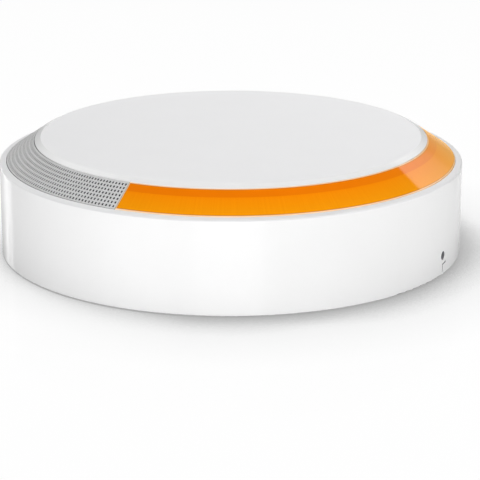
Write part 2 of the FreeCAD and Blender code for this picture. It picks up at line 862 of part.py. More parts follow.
def make_cover():
    plate = round_box(cover_half_x, cover_half_y, cover_bottom, cover_top, cover_corner, box_y)
    ribs = []
    rib_top = cell_axis_level - cell_radius + cover_cradle_rise
    for sx in (-1, 1):
        for offset in cradle_offsets:
            x = sx * offset
            ribs.append(box(x - cradle_thickness / 2, x + cradle_thickness / 2,
                            box_y - box_half_y + cover_rib_clear, box_y + box_half_y - cover_rib_clear,
                            cover_top - overlap, rib_top))
    hollows = []
    for sy in (-1, 1):
        y = box_y + sy * (cell_radius + cell_gap / 2)
        hollows.append(Part.makeCylinder(cell_radius + cradle_clear, 2 * box_half_x,
                                         Vector(-box_half_x, y, cell_axis_level), Vector(1, 0, 0)))
    ribs = Part.makeCompound(ribs).cut(hollows).Solids
    cover = join(plate, *ribs)
    seal_half_x = box_half_x + cover_seal_margin
    seal_half_y = box_half_y + cover_seal_margin
    core_corner = cover_corner - cover_seal_width
    groove_low = cover_top - cover_seal_height
    groove = round_box(seal_half_x + cover_seal_width, seal_half_y + cover_seal_width, groove_low,
                       cover_top + cut_past, cover_corner, box_y)
    core = round_box(seal_half_x, seal_half_y, groove_low, cover_top + cut_past, core_corner, box_y)
    cuts = [groove.cut(core)]
    screws = []
    for sx in (-1, 1):
        for sy in (-1, 1):
            x, y = sx * cover_screw_x, box_y + sy * cover_screw_y
            cuts.append(tube(screw_shank_radius + close_gap, 0, cover_bottom - cut_past, cover_top + cut_past,
                             x, y))
            screws.append(screw(cover_bottom - screw_head_height, cover_thickness + cover_screw_grip, x, y))
    save("battery_cover", cover.cut(cuts))
    seal = round_box(seal_half_x + cover_seal_width - close_gap, seal_half_y + cover_seal_width - close_gap,
                     groove_low, chassis_level - touch_gap, cover_corner, box_y)
    hole = round_box(seal_half_x + close_gap, seal_half_y + close_gap, groove_low - cut_past,
                     chassis_level + cut_past, core_corner, box_y)
    save("battery_cover_seal", seal.cut(hole))
    save("cover_screws", *screws)


# Boards and what is on them

def board_screw_places():
    """Centres of the main board's screws, just inside its edge."""
    return [polar(board_screw_circle, angle) for angle in board_screw_angles]


def make_boards():
    disc = tube(board_radius, 0, board_level, board_top)
    keep = box(-board_radius, board_radius, board_edge_y, board_radius, board_level - cut_past,
               board_top + cut_past)
    cuts = [tube(screw_hole_radius, 0, board_level - cut_past, board_top + cut_past, x, y)
            for x, y in board_screw_places()]
    cuts.append(tube(switch_cavity_radius, 0, board_level - cut_past, board_top + cut_past,
                     tamper_x, tamper_y))
    save("main_board", disc.common(keep).cut(cuts))
    save("board_screws", *[screw(board_top, board_thickness + board_screw_grip - screw_end_gap, x, y, True)
                           for x, y in board_screw_places()])
    low = board_top + seat_gap
    width, depth, height = radio_size
    x, y = -board_radius + radio_margin, radio_y
    can = box(x - width / 2, x + width / 2, y - depth / 2, y + depth / 2, low, low + height)
    save("radio_module", can.makeFillet(radio_round, can.Edges))
    chips = []
    for x, y, side in chip_places:
        chips.append(box(x - side / 2, x + side / 2, y - side / 2, y + side / 2, low, low + chip_height))
    save("board_chips", *chips)
    drums = []
    drum_start = board_radius - capacitor_margin - capacitor_length / 2
    for y in capacitor_rows:
        drums.append(Part.makeCylinder(capacitor_radius, capacitor_length,
                                       Vector(drum_start, y, low + capacitor_radius), Vector(1, 0, 0)))
    save("storage_capacitors", *drums)
    width, depth, height = transformer_size
    x, y = polar(board_radius - transformer_margin, transformer_angle)
    core = box(x - width / 2, x + width / 2, y - depth / 2, y + depth / 2, low, low + height)
    coil_low = low + transformer_core_end
    coil_high = low + height - transformer_core_end
    coil = tube(width / 2 + transformer_coil_proud, 0, coil_low, coil_high, x, y)
    waist = core.cut(tube(width, width / 2 - transformer_neck, coil_low, coil_high, x, y))
    save("step_up_transformer", join(waist, coil))
    first, last = antenna_angles
    outer = antenna_circle + antenna_thickness
    leg_low = low + antenna_leg
    leg_high = leg_low + overlap
    strip_high = low + antenna_height
    strip = turned([(antenna_circle, leg_low), (outer, leg_low), (outer, strip_high),
                    (antenna_circle, strip_high)], first, last - first)
    legs = [turned([(antenna_circle, low), (outer, low), (outer, leg_high), (antenna_circle, leg_high)],
                   angle, antenna_leg_span)
            for angle in (first, (first + last) / 2, last - antenna_leg_span)]
    save("antenna", join(strip, *legs))


def make_flash():
    low = flash_board_level
    high = low + flash_board_thickness
    start = -90 - lens_span / 2 + flash_end_margin
    span = lens_span - 2 * flash_end_margin
    board = turned([(flash_board_inner, low), (flash_board_outer, low), (flash_board_outer, high),
                    (flash_board_inner, high)], start, span)
    screw_places = [flash_screw_place(k) for k in range(flash_screw_count)]
    board = board.cut([tube(screw_hole_radius, 0, low - cut_past, high + cut_past, x, y)
                       for x, y in screw_places])
    save("flash_board", board)
    save("flash_board_screws", *[screw(high + seat_gap, flash_board_thickness + flash_screw_grip, x, y, True)
                                 for x, y in screw_places])
    first, step = led_angles()
    leds = []
    holes = []
    half = led_side / 2
    led_low = high + seat_gap
    for k in range(led_count):
        angle = first + step * k
        base = box(led_circle - half, led_circle + half, -half, half, led_low, led_low + led_base_height)
        dome = tube(led_dome_radius, 0, led_low + overlap, led_low + led_height, led_circle, 0)
        leds.append(around(join(base, dome), angle))
        hole_half = half + led_window_gap
        hole = box(led_circle - hole_half, led_circle + hole_half, -hole_half, hole_half,
                   high, high + reflector_height)
        holes.append(around(hole, angle))
    save("flash_leds", *leds)
    inner, outer = flash_board_inner - reflector_inset, flash_board_outer
    floor = high + seat_gap
    rim = floor + reflector_wall
    top = floor + reflector_height
    points = [(inner, floor), (outer, floor), (outer, rim), (inner + reflector_wall + reflector_lean, rim),
              (inner + reflector_wall, top), (inner, top)]
    tray = turned(points, start, span)
    for x, y in screw_places:
        holes.append(tube(screw_head_radius + screw_window_gap, 0, high, high + reflector_height, x, y))
    save("light_reflector", tray.cut(holes))


# Sounder and horn

def make_sounder():
    top = top_disc_under - fit_gap
    y = sounder_y
    cup = tube(sounder_radius, sounder_radius - sounder_wall, sounder_bottom, top, 0, y)
    lid = tube(sounder_radius, 0, top - sounder_wall, top, 0, y)
    step_low = sounder_bottom + clamp_ring_height + disc_thickness + ceramic_thickness + clamp_spare
    step = tube(sounder_radius - overlap, sounder_radius - sounder_wall - sounder_step_width, step_low,
                step_low + sounder_step_height, 0, y)
    ears = []
    holes = []
    for ex, ey in ear_places():
        ears.append(tube(ear_radius, 0, ear_level, ear_level + ear_height, ex, ey))
        holes.append(tube(screw_hole_radius, 0, ear_level - cut_past, ear_level + ear_height + cut_past,
                          ex, ey))
    inner = tube(sounder_radius - sounder_wall, 0, ear_level, ear_level + ear_height, 0, y)
    body = join(cup, lid, step, *[e.cut(inner) for e in ears])
    throat = box(-horn_throat_half, horn_throat_half, y, y + sounder_radius + cut_past, horn_level,
                 horn_level + horn_height)
    inner_room = tube(sounder_radius - sounder_wall, 0, horn_level, horn_level + horn_height, 0, y)
    save("sounder_body", body.cut([*holes, throat.cut(inner_room)]))
    disc_high = step_low - seat_gap
    disc = tube(disc_radius, 0, disc_high - disc_thickness, disc_high, 0, y)
    ceramic = tube(ceramic_radius, 0, disc_high - disc_thickness - ceramic_thickness,
                   disc_high - disc_thickness, 0, y)
    save("piezo_disc", join(disc, ceramic))
    clamp_top = disc_high - disc_thickness - seat_gap
    clamp_outer = sounder_radius - sounder_wall - seat_gap
    clamp = tube(clamp_outer, clamp_outer - clamp_ring_width, clamp_top - clamp_ring_height, clamp_top, 0, y)
    save("sounder_clamp_ring", clamp)
    save("sounder_screws", *[screw(ear_level - screw_head_height, ear_height + ear_screw_grip, ex, ey)
                             for ex, ey in ear_places()])

    def funnel(extra, start_y, end_y):
        """A duct of rectangular section that widens from the sounder to the grille chamber."""
        wires = []
        for half, place in ((horn_throat_half, start_y), (horn_mouth_half, end_y)):
            x, z0, z1 = half + extra, horn_level - extra, horn_level + horn_height + extra
            corners = [Vector(x0, place, z) for x0, z in ((-x, z0), (x, z0), (x, z1), (-x, z1))]
            wires.append(Part.makePolygon(corners + corners[:1]))
        return Part.makeLoft(wires, True, True)

    start_y = y + math.sqrt(sounder_radius ** 2 - (horn_throat_half + horn_wall) ** 2) - cut_past
    saddle = tube(sounder_radius + horn_seat_gap, 0, horn_level - horn_height, horn_level + 2 * horn_height,
                  0, y)
    horn = funnel(horn_wall, start_y, horn_end_y)
    save("sound_horn", horn.cut([funnel(0, start_y - cut_past, horn_end_y + cut_past), saddle]))


# Tamper plunger, pairing button, closure screw

def make_tamper():
    collar_low = chassis_top + tamper_travel + seat_gap
    collar_high = collar_low + tamper_collar_height
    rod = tube(tamper_rod_radius, 0, 0, collar_low + overlap, tamper_x, tamper_y)
    collar = tube(tamper_collar_radius, 0, collar_low, collar_high, tamper_x, tamper_y)
    save("tamper_plunger", join(rod, collar))
    low = board_top + seat_gap
    high = low + switch_height
    case = box(tamper_x - switch_half, tamper_x + switch_half, tamper_y - switch_half, tamper_y + switch_half,
               low, high)
    cavity = tube(switch_cavity_radius, 0, low - cut_past, high - switch_roof, tamper_x, tamper_y)
    save("tamper_switch", case.cut(cavity))
    reach = high - switch_roof - collar_high - 2 * spring_wire_radius - 2 * seat_gap
    helix = Part.makeHelix(reach / spring_turns, reach, spring_radius)
    section = Part.makeCircle(spring_wire_radius, Vector(spring_radius, 0, 0), Vector(0, 1, 0))
    coil = Part.Wire(helix.Edges).makePipeShell([Part.Wire([section])], True, True)
    save("tamper_spring", at(coil, tamper_x, tamper_y, collar_high + spring_wire_radius + seat_gap))


def make_button():
    flange_low = chassis_top + seat_gap
    flange_high = flange_low + button_flange_height
    actuator_low = board_level - seat_gap - button_switch_height - button_actuator_height
    stem_high = actuator_low - button_travel - seat_gap
    head = tube(button_radius, 0, chassis_level - button_proud, flange_low + overlap, button_x, button_y)
    flange = tube(button_flange_radius, 0, flange_low, flange_high, button_x, button_y)
    stem = tube(button_stem_radius, 0, flange_high - overlap, stem_high, button_x, button_y)
    save("pairing_button", join(head, flange, stem))
    high = board_level - seat_gap
    low = high - button_switch_height
    half = button_switch_half
    case = box(button_x - half, button_x + half, button_y - half, button_y + half, low, high)
    tip = tube(button_actuator_radius, 0, low - button_actuator_height, low + overlap, button_x, button_y)
    save("button_switch", join(case, tip))


def make_closure():
    along = Vector(0, 1, 0)
    start = -shell_inner + closure_boss_length - insert_length
    insert = Part.makeCylinder(insert_radius - touch_gap, insert_length,
                               Vector(0, start, closure_level), along)
    bore = Part.makeCylinder(screw_shank_radius + close_gap, insert_length + 2 * cut_past,
                             Vector(0, start - cut_past, closure_level), along)
    save("closure_insert", insert.cut(bore))
    outer = -body_radius + closure_recess
    shank = Part.makeCylinder(screw_shank_radius, closure_screw_length,
                              Vector(0, outer, closure_level), along)
    socket = Part.makeCylinder(closure_socket_radius, closure_socket_depth,
                               Vector(0, outer, closure_level), along)
    save("closure_screw", shank.cut(socket))


# Leads and plugs

def make_leads():
    plugs = []
    low = board_top + seat_gap
    width, depth, height = plug_size

    def plug(x, y):
        plugs.append(box(x - width / 2, x + width / 2, y - depth / 2, y + depth / 2, low, low + height))

    top = low + height + seat_gap
    x, y, z = battery_exit()
    plug_y = y + battery_plug_reach
    plug(x, plug_y)
    save("battery_lead", lead([(x, y - box_wall / 2 - lead_into_wall, z),
                               (x, y + battery_lead_straight, z),
                               (x, y + battery_lead_turn, z + battery_lead_lift),
                               (x, plug_y, z + battery_lead_crest),
                               (x, plug_y, top)]))
    plug_x = -sounder_radius - sounder_plug_gap
    plug(plug_x, sounder_plug_y)
    z = sounder_bottom + sounder_lead_rise
    y = sounder_y - sounder_lead_low
    x = -math.sqrt((sounder_radius + lead_radius + overlap) ** 2 - sounder_lead_low ** 2)
    save("sounder_lead", lead([(x, y, z),
                               (x - sounder_lead_out, y - sounder_lead_aside, z + sounder_lead_lift),
                               (plug_x, sounder_plug_y, z + sounder_lead_crest),
                               (plug_x, sounder_plug_y, top)]))
    x, y, z = flash_lead_x, flash_lead_y, deck_under
    plug_x = flash_lead_x - flash_plug_inset
    plug(plug_x, flash_plug_y)
    save("flash_lead", lead([(x, y, flash_board_level - lead_into_board),
                             (x, y, z - flash_lead_drop),
                             (x - flash_lead_out, y + flash_lead_aside, z - flash_lead_sag),
                             (plug_x, flash_plug_y, top + flash_lead_crest),
                             (plug_x, flash_plug_y, top)]))
    save("lead_plugs", *plugs)


# Wall plate

def make_plate():
    disc = tube(plate_radius, 0, 0, plate_thickness)
    rim = tube(plate_radius, plate_radius - plate_rim_width, 0, plate_rim_height)
    extras = [rim]
    window_half_x = cover_half_x + window_clear
    window_half_y = cover_half_y + window_clear
    frame = round_box(window_half_x + plate_rib_width, window_half_y + plate_rib_width, overlap,
                      plate_rib_height, window_corner + plate_rib_width, box_y)
    extras.append(frame)
    for sx in (-1, 1):
        for sy in (-1, 1):
            x, y = sx * wall_slot_x, wall_row_y(sy)
            extras.append(slot(x, y, wall_slot_radius + wall_boss_wall, wall_slot_length + 2 * wall_boss_wall,
                               overlap, wall_boss_height))
    extras.append(box(-lug_half_width, lug_half_width, lug_outer, lug_outer + lug_depth, overlap,
                      chassis_level - lug_top_gap))
    for angle in snap_angles:
        reach = shell_inner - catch_reach - fit_gap
        root = reach - snap_hook_reach - snap_thickness
        arm = box(root, root + snap_thickness, -snap_width / 2, snap_width / 2, overlap, snap_height)
        hook_root = root + snap_thickness - overlap
        hook_low = snap_height - snap_hook_height
        corners = [(hook_root, snap_height), (hook_root, hook_low), (reach, hook_low + snap_hook_lead),
                   (reach, hook_low + snap_hook_lead + snap_hook_nose)]
        corners = [Vector(x, -snap_width / 2, z) for x, z in corners]
        hook = Part.makePolygon(corners + corners[:1])
        hook = Part.Face(hook).extrude(Vector(0, snap_width, 0))
        extras.append(around(join(arm, hook), angle))
    for side in (-1, 1):
        rib = box(window_half_x, plate_radius, box_y - plate_rib_width / 2, box_y + plate_rib_width / 2,
                  overlap, plate_rib_height)
        rib = rib.common(tube(plate_radius - overlap, 0, 0, plate_rim_height))
        extras.append(rib if side > 0 else rib.mirror(ORIGIN, Vector(1, 0, 0)))
    plate = join(disc, *extras)
    past_rim = plate_rim_height + cut_past
    cuts = [round_box(window_half_x, window_half_y, -cut_past, past_rim, window_corner, box_y)]
    for sx in (-1, 1):
        for sy in (-1, 1):
            cuts.append(slot(sx * wall_slot_x, wall_row_y(sy), wall_slot_radius, wall_slot_length, -cut_past,
                             wall_boss_height + cut_past))
    cuts.append(tube(tamper_plate_hole, 0, -cut_past, past_rim, tamper_x, tamper_y))
    cuts.append(tube(button_radius + button_access_gap, 0, -cut_past, past_rim, button_x, button_y))
    tear_outer = tear_radius + tear_slot_width
    tear_step = 360.0 / tear_bridge_count
    for k in range(tear_bridge_count):
        arc = turned([(tear_radius, -cut_past), (tear_outer, -cut_past), (tear_outer, past_rim),
                      (tear_radius, past_rim)],
                     k * tear_step + tear_first_bridge, tear_step - tear_bridge_angle)
        cuts.append(at(arc, 0, tear_y))
    cuts.append(tube(wall_slot_radius, 0, -cut_past, past_rim, 0, tear_y))
    cuts.append(Part.makeCylinder(lug_bore_radius, lug_bore_depth + cut_past,
                                  Vector(0, lug_outer - cut_past, closure_level), Vector(0, 1, 0)))
    notch_half = closure_boss_radius + lug_notch_clear
    cuts.append(box(-notch_half, notch_half, -plate_radius - cut_past, lug_outer, plate_thickness, past_rim))
    save("wall_plate", plate.cut(cuts).removeSplitter())


def wall_row_y(side):
    """The two rows of wall-screw slots, above and below the window."""
    return side * wall_slot_y


def slot(x, y, radius, length, low, high):
    """A slot along X with round ends."""
    half = length / 2 - radius
    middle = box(x - half, x + half, y - radius, y + radius, low, high)
    ends = [tube(radius, 0, low, high, x + side * half, y) for side in (-1, 1)]
    return join(middle, *ends)


make_cap()
make_lens()
grille_start, grille_span = make_grille()
make_screen(grille_start, grille_span)
make_shell()
make_chassis()
make_seal_and_screws()
make_battery()
make_cover()
make_boards()
make_flash()
make_sounder()
make_tamper()
make_button()
make_closure()
make_leads()
make_plate()
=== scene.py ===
import bpy
import math
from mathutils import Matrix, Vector


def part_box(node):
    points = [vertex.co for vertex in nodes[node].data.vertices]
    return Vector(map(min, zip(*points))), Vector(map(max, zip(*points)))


# Outdoor alarm siren lying on its back on a white table, in metres.
# The rigid frame gives the pieces; this script gives their finishes, the studio and the camera.

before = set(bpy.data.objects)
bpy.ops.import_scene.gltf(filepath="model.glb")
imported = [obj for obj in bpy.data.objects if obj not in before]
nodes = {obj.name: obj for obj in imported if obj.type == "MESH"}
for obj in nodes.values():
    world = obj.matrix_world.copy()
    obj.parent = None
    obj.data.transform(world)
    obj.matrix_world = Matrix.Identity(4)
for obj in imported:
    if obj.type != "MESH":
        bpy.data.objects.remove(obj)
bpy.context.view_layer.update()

MM = 0.001

# The camera, as measured from the photograph, in metres and degrees; its lens and sensor are in millimetres.
# Studio angles are counted from the camera's right-hand side, anticlockwise seen from above, so the camera
# itself stands at -90.
STUDIO_TURN = -62.2
CAMERA_AZIMUTH = -90.0
CAMERA_ELEVATION = 15.54
CAMERA_DISTANCE = 0.906
CAMERA_TARGET = Vector((0.0, 0.0, 0.025))
CAMERA_AIM_BELOW = 0.0226
CAMERA_AIM_RIGHT = 0.0039
CAMERA_LENS = 155.6
CAMERA_SENSOR = 36.0
CAMERA_NEAR = 0.05
CAMERA_FAR = 20.0

# The lamps face this place
LAMP_TARGET = Vector((0.0, 0.0, 0.02))

# The cove round the table: dim up to one height angle, then brighter and brighter up to its top edge, over
# which a nearly black ceiling begins. COVE_LIGHT is the share of its brightness that lights the siren.
COVE_DIM_RISE = 12.0
COVE_RISE = 34.6
COVE_EDGE_BLUR = 0.008
COVE_TOP_LEVEL = 1.6
COVE_LIGHT = 0.38
CEILING_LEVEL = 0.015

# The table top, its soft contact shade round the siren's foot, which is painted into its colour, and the
# side where
# that painted shade is weaker: how much, and from which cosine of the angle to that side up to which one
TABLE_HALF = 3.0
TABLE_DROP = 0.1 * MM
TABLE_WAVE = 40.0 * MM
CONTACT_REACH = 60.0 * MM
CONTACT_SAMPLES = 8
LIT_SIDE_AZIMUTH = 180.0
LIT_SIDE_STARTS = 0.1
LIT_SIDE_FULL = 0.75
LIT_SIDE_OPENING = 0.14

# Grey levels of the painted contact shade, each after the openness where it is reached: from the foot to
# open table
PAINTED_SHADE_LEVELS = ((0.50, 0.42), (0.573, 0.52), (0.64, 0.58), (0.673, 0.73),
                  (0.69, 0.85), (0.72, 0.89), (0.83, 0.94), (1.0, 1.0))

# The share of the table's look that is its own even white: what a mirror sees of it, and what is added to
# that for the camera
OWN_WHITE_MIRRORED = 0.3
OWN_WHITE_CAMERA = 0.64

# The sloping ring of lens and grille: its radii, the lens's inner step and how far its face falls per
# metre outwards
lens_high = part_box("flash_lens")[1]
RING_OUTER = lens_high.x
RING_WIDTH = 11.8 * MM
RING_INNER = RING_OUTER - RING_WIDTH
LENS_FACE_WIDTH = 8.05 * MM
LENS_STEP = RING_OUTER - LENS_FACE_WIDTH
RING_TOP = lens_high.z
RING_FALL = 0.6776

# Where the cap's bevel starts
BEVEL_WIDTH = 2.65 * MM
BEVEL_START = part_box("top_cap")[1].x - BEVEL_WIDTH

# The housing shell, and the place at its -Y side that holds the closure hole and the engraved mark under it,
# with a painted grey shade
SHELL_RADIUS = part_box("housing_shell")[1].x
RIM_TOP = RING_TOP - RING_FALL * RING_WIDTH
RIM_HEIGHT = 1.3 * MM
MARK_REACH = 2.9 * MM
MARK_HALF_WIDTH = 4.0 * MM
MARK_TOP = 11.5 * MM
MARK_FOOT = 1.5 * MM

# Typical indices of refraction; that of ABS serves the other opaque plastics too
ABS_IOR = 1.5
POLYCARBONATE_IOR = 1.585
ACRYLIC_IOR = 1.49
SILICONE_IOR = 1.41

# Size of the faint flow marks in moulded plastic
FLOW_MARK = 18.0 * MM


def linear(hex_colour):
    """An sRGB hex colour as linear red, green, blue and alpha."""
    channels = []
    for k in (1, 3, 5):
        value = int(hex_colour[k:k + 2], 16) / 255.0
        channels.append(value / 12.92 if value <= 0.04045 else ((value + 0.055) / 1.055) ** 2.4)
    return (*channels, 1.0)


def darkened(colour, shade):
    """A linear colour made darker by a share of itself."""
    return (*(channel * (1.0 - shade) for channel in colour[:3]), 1.0)


def add(tree, kind, inputs=None, **settings):
    """Add a node with its settings; each input is set, or linked to a socket or to a node's live output."""
    made = tree.nodes.new(kind)
    for name, value in settings.items():
        setattr(made, name, value)
    for socket, value in (inputs or {}).items():
        if isinstance(value, bpy.types.Node):
            value = next(output for output in value.outputs if output.enabled)
        if isinstance(value, bpy.types.NodeSocket):
            tree.links.new(value, made.inputs[socket])
        else:
            made.inputs[socket].default_value = value
    return made


def start_material(name):
    """An empty node material; returns it, its tree and the place on the object in metres."""
    material = bpy.data.materials.new(name)
    material.use_nodes = True
    tree = material.node_tree
    tree.nodes.clear()
    return material, tree, add(tree, "ShaderNodeTexCoord").outputs["Object"]


def radius_of(tree, place):
    """Distance from the object's axis."""
    parts = add(tree, "ShaderNodeSeparateXYZ", {0: place})
    x = parts.outputs["X"]
    y = parts.outputs["Y"]
    square = add(tree, "ShaderNodeMath", {0: x, 1: x}, operation="MULTIPLY")
    both = add(tree, "ShaderNodeMath", {0: y, 1: y, 2: square}, operation="MULTIPLY_ADD")
    return add(tree, "ShaderNodeMath", {0: both, 1: 0.5}, operation="POWER")


def angle_of(tree, place):
    """Angle round the object's axis, in radians."""
    parts = add(tree, "ShaderNodeSeparateXYZ", {0: place})
    return add(tree, "ShaderNodeMath", {0: parts.outputs["Y"], 1: parts.outputs["X"]}, operation="ARCTAN2")


def flow_marks(tree, place):
    """Faint broad marks where the melt flowed into the mould, from 0 to 1."""
    return add(tree, "ShaderNodeTexNoise", {"Vector": place, "Scale": 1.0 / FLOW_MARK, "Detail": 1.0})


def grain_bump(tree, place, size_mm, depth_mm):
    """Fine surface grain of a given size and depth."""
    grain = add(tree, "ShaderNodeTexNoise", {"Vector": place, "Scale": 1.0 / (size_mm * MM), "Detail": 2.0})
    return add(tree, "ShaderNodeBump", {"Height": grain, "Distance": depth_mm * MM})


def moulded_plastic(name, colour, roughness, grain_mm, depth_mm, shade=0.04):
    """Injection-moulded plastic: even colour with faint flow marks and the tool's grain."""
    gloss_spread = 0.1
    material, tree, place = start_material(name)
    flow = flow_marks(tree, place)
    base = linear(colour)
    tint = add(tree, "ShaderNodeMix", {0: flow, 6: darkened(base, shade), 7: base}, data_type="RGBA")
    gloss = add(tree, "ShaderNodeMapRange", {"Value": flow, "To Min": roughness * (1.0 - gloss_spread),
                                             "To Max": roughness * (1.0 + gloss_spread)})
    shader = add(tree, "ShaderNodeBsdfPrincipled",
                 {"Base Color": tint, "Roughness": gloss, "IOR": ABS_IOR,
                  "Normal": grain_bump(tree, place, grain_mm, depth_mm)})
    add(tree, "ShaderNodeOutputMaterial", {"Surface": shader})
    return material


def glossy_shell():
    """Polished white ABS of the housing: its wall mirrors the studio, faintly wavy, under a satin rim whose
    greyer colour is painted shade.

    The closure hole and the engraved mark under it are cut deep into the wall and get a painted grey shade.
    """
    rim_blur = 0.05 * MM
    shade_starts = 0.1 * MM
    shade_full = 0.25 * MM
    polished = 0.10
    satin = 0.45
    material, tree, place = start_material("polished_white_abs")
    radius = radius_of(tree, place)
    parts = add(tree, "ShaderNodeSeparateXYZ", {0: place})
    height = parts.outputs["Z"]
    aside = add(tree, "ShaderNodeMath", {0: parts.outputs["X"]}, operation="ABSOLUTE")
    # Painted shade: the wall turns grey where it sinks under its face at the closure hole and the mark
    share = add(tree, "ShaderNodeMapRange",
                {"Value": radius, "From Min": SHELL_RADIUS - shade_full,
                 "From Max": SHELL_RADIUS - shade_starts, "To Min": 1.0, "To Max": 0.0})
    limits = ((radius, "GREATER_THAN", SHELL_RADIUS - MARK_REACH),
              (aside, "LESS_THAN", MARK_HALF_WIDTH),
              (parts.outputs["Y"], "LESS_THAN", 0.0),
              (height, "LESS_THAN", MARK_TOP),
              (height, "GREATER_THAN", MARK_FOOT))
    for value, side, limit in limits:
        inside = add(tree, "ShaderNodeMath", {0: value, 1: limit}, operation=side)
        share = add(tree, "ShaderNodeMath", {0: share, 1: inside}, operation="MULTIPLY")
    white = add(tree, "ShaderNodeMix",
                {0: flow_marks(tree, place), 6: linear("#F5F5F5"), 7: linear("#F7F7F7")}, data_type="RGBA")
    rim_foot = RIM_TOP - RIM_HEIGHT
    on_rim = add(tree, "ShaderNodeMapRange",
                 {"Value": height, "From Min": rim_foot - rim_blur, "From Max": rim_foot + rim_blur})
    # The rim's satin finish is real; its greyer colour is painted shade
    face = add(tree, "ShaderNodeMix", {0: on_rim, 6: white, 7: linear("#E7E7E8")}, data_type="RGBA")
    colour = add(tree, "ShaderNodeMix", {0: share, 6: face, 7: linear("#868688")}, data_type="RGBA")
    gloss = add(tree, "ShaderNodeMapRange", {"Value": on_rim, "To Min": polished, "To Max": satin})
    shader = add(tree, "ShaderNodeBsdfPrincipled",
                 {"Base Color": colour, "Roughness": gloss, "IOR": ABS_IOR,
                  "Normal": grain_bump(tree, place, size_mm=9.0, depth_mm=0.012)})
    add(tree, "ShaderNodeOutputMaterial", {"Surface": shader})
    return material


def satin_cap():
    """White ABS cap: a fine satin face inside a polished bevel, whose whiter colour is a painted highlight.
    """
    bevel_blur = 0.1 * MM
    satin = 0.42
    polished = 0.16
    material, tree, place = start_material("satin_and_polished_white_abs")
    on_bevel = add(tree, "ShaderNodeMapRange",
                   {"Value": radius_of(tree, place), "From Min": BEVEL_START - bevel_blur,
                    "From Max": BEVEL_START + bevel_blur})
    face = add(tree, "ShaderNodeMix",
               {0: flow_marks(tree, place), 6: linear("#E7E7E8"), 7: linear("#E9E9EA")}, data_type="RGBA")
    # The bevel's polish is real; its whiter colour is a painted highlight
    colour = add(tree, "ShaderNodeMix", {0: on_bevel, 6: face, 7: linear("#F1F1F1")}, data_type="RGBA")
    gloss = add(tree, "ShaderNodeMapRange", {"Value": on_bevel, "To Min": satin, "To Max": polished})
    shader = add(tree, "ShaderNodeBsdfPrincipled",
                 {"Base Color": colour, "Roughness": gloss, "IOR": ABS_IOR, "Specular IOR Level": 0.35,
                  "Normal": grain_bump(tree, place, size_mm=0.35, depth_mm=0.008)})
    add(tree, "ShaderNodeOutputMaterial", {"Surface": shader})
    return material


def slotted_abs():
    """Moulded light grey ABS grille: satin webs, and slots whose walls get a painted shade that darkens with
    depth.
    """
    shade_starts = 0.02 * MM
    shade_full = 0.40 * MM
    material, tree, place = start_material("slotted_grey_abs")
    height = add(tree, "ShaderNodeSeparateXYZ", {0: place}).outputs["Z"]
    inwards = add(tree, "ShaderNodeMath", {0: RING_INNER, 1: radius_of(tree, place)}, operation="SUBTRACT")
    face = add(tree, "ShaderNodeMath", {0: inwards, 1: RING_FALL, 2: RING_TOP}, operation="MULTIPLY_ADD")
    depth = add(tree, "ShaderNodeMath", {0: face, 1: height}, operation="SUBTRACT")
    # Painted shade: the slot walls turn dark grey with depth under the grille's face
    painted_slot_shade = add(tree, "ShaderNodeMapRange",
                  {"Value": depth, "From Min": shade_starts, "From Max": shade_full})
    web = add(tree, "ShaderNodeMix",
              {0: flow_marks(tree, place), 6: linear("#CFCFCF"), 7: linear("#D3D3D3")}, data_type="RGBA")
    colour = add(tree, "ShaderNodeMix", {0: painted_slot_shade, 6: web, 7: linear("#2C2C2D")}, data_type="RGBA")
    shader = add(tree, "ShaderNodeBsdfPrincipled",
                 {"Base Color": colour, "Roughness": 0.6, "IOR": ABS_IOR, "Specular IOR Level": 0.08,
                  "Normal": grain_bump(tree, place, size_mm=0.4, depth_mm=0.01)})
    add(tree, "ShaderNodeOutputMaterial", {"Surface": shader})
    return material


def lens_edge_distance(tree, place, radius):
    """Distance from the lens's nearest edge: outer, inner or the joints with the grille.

    The joints run outwards along the object's X axis and rise a little towards +Y.
    """
    joint_slope = 0.0075
    parts = add(tree, "ShaderNodeSeparateXYZ", {0: place})
    aside = add(tree, "ShaderNodeMath", {0: parts.outputs["X"]}, operation="ABSOLUTE")
    joint = add(tree, "ShaderNodeMath", {0: aside, 1: joint_slope}, operation="MULTIPLY")
    to_joint = add(tree, "ShaderNodeMath", {0: joint, 1: parts.outputs["Y"]}, operation="SUBTRACT")
    to_outer = add(tree, "ShaderNodeMath", {0: RING_OUTER, 1: radius}, operation="SUBTRACT")
    to_inner = add(tree, "ShaderNodeMath", {0: radius, 1: RING_INNER}, operation="SUBTRACT")
    nearest = add(tree, "ShaderNodeMath", {0: to_outer, 1: to_inner}, operation="MINIMUM")
    return add(tree, "ShaderNodeMath", {0: nearest, 1: to_joint}, operation="MINIMUM")


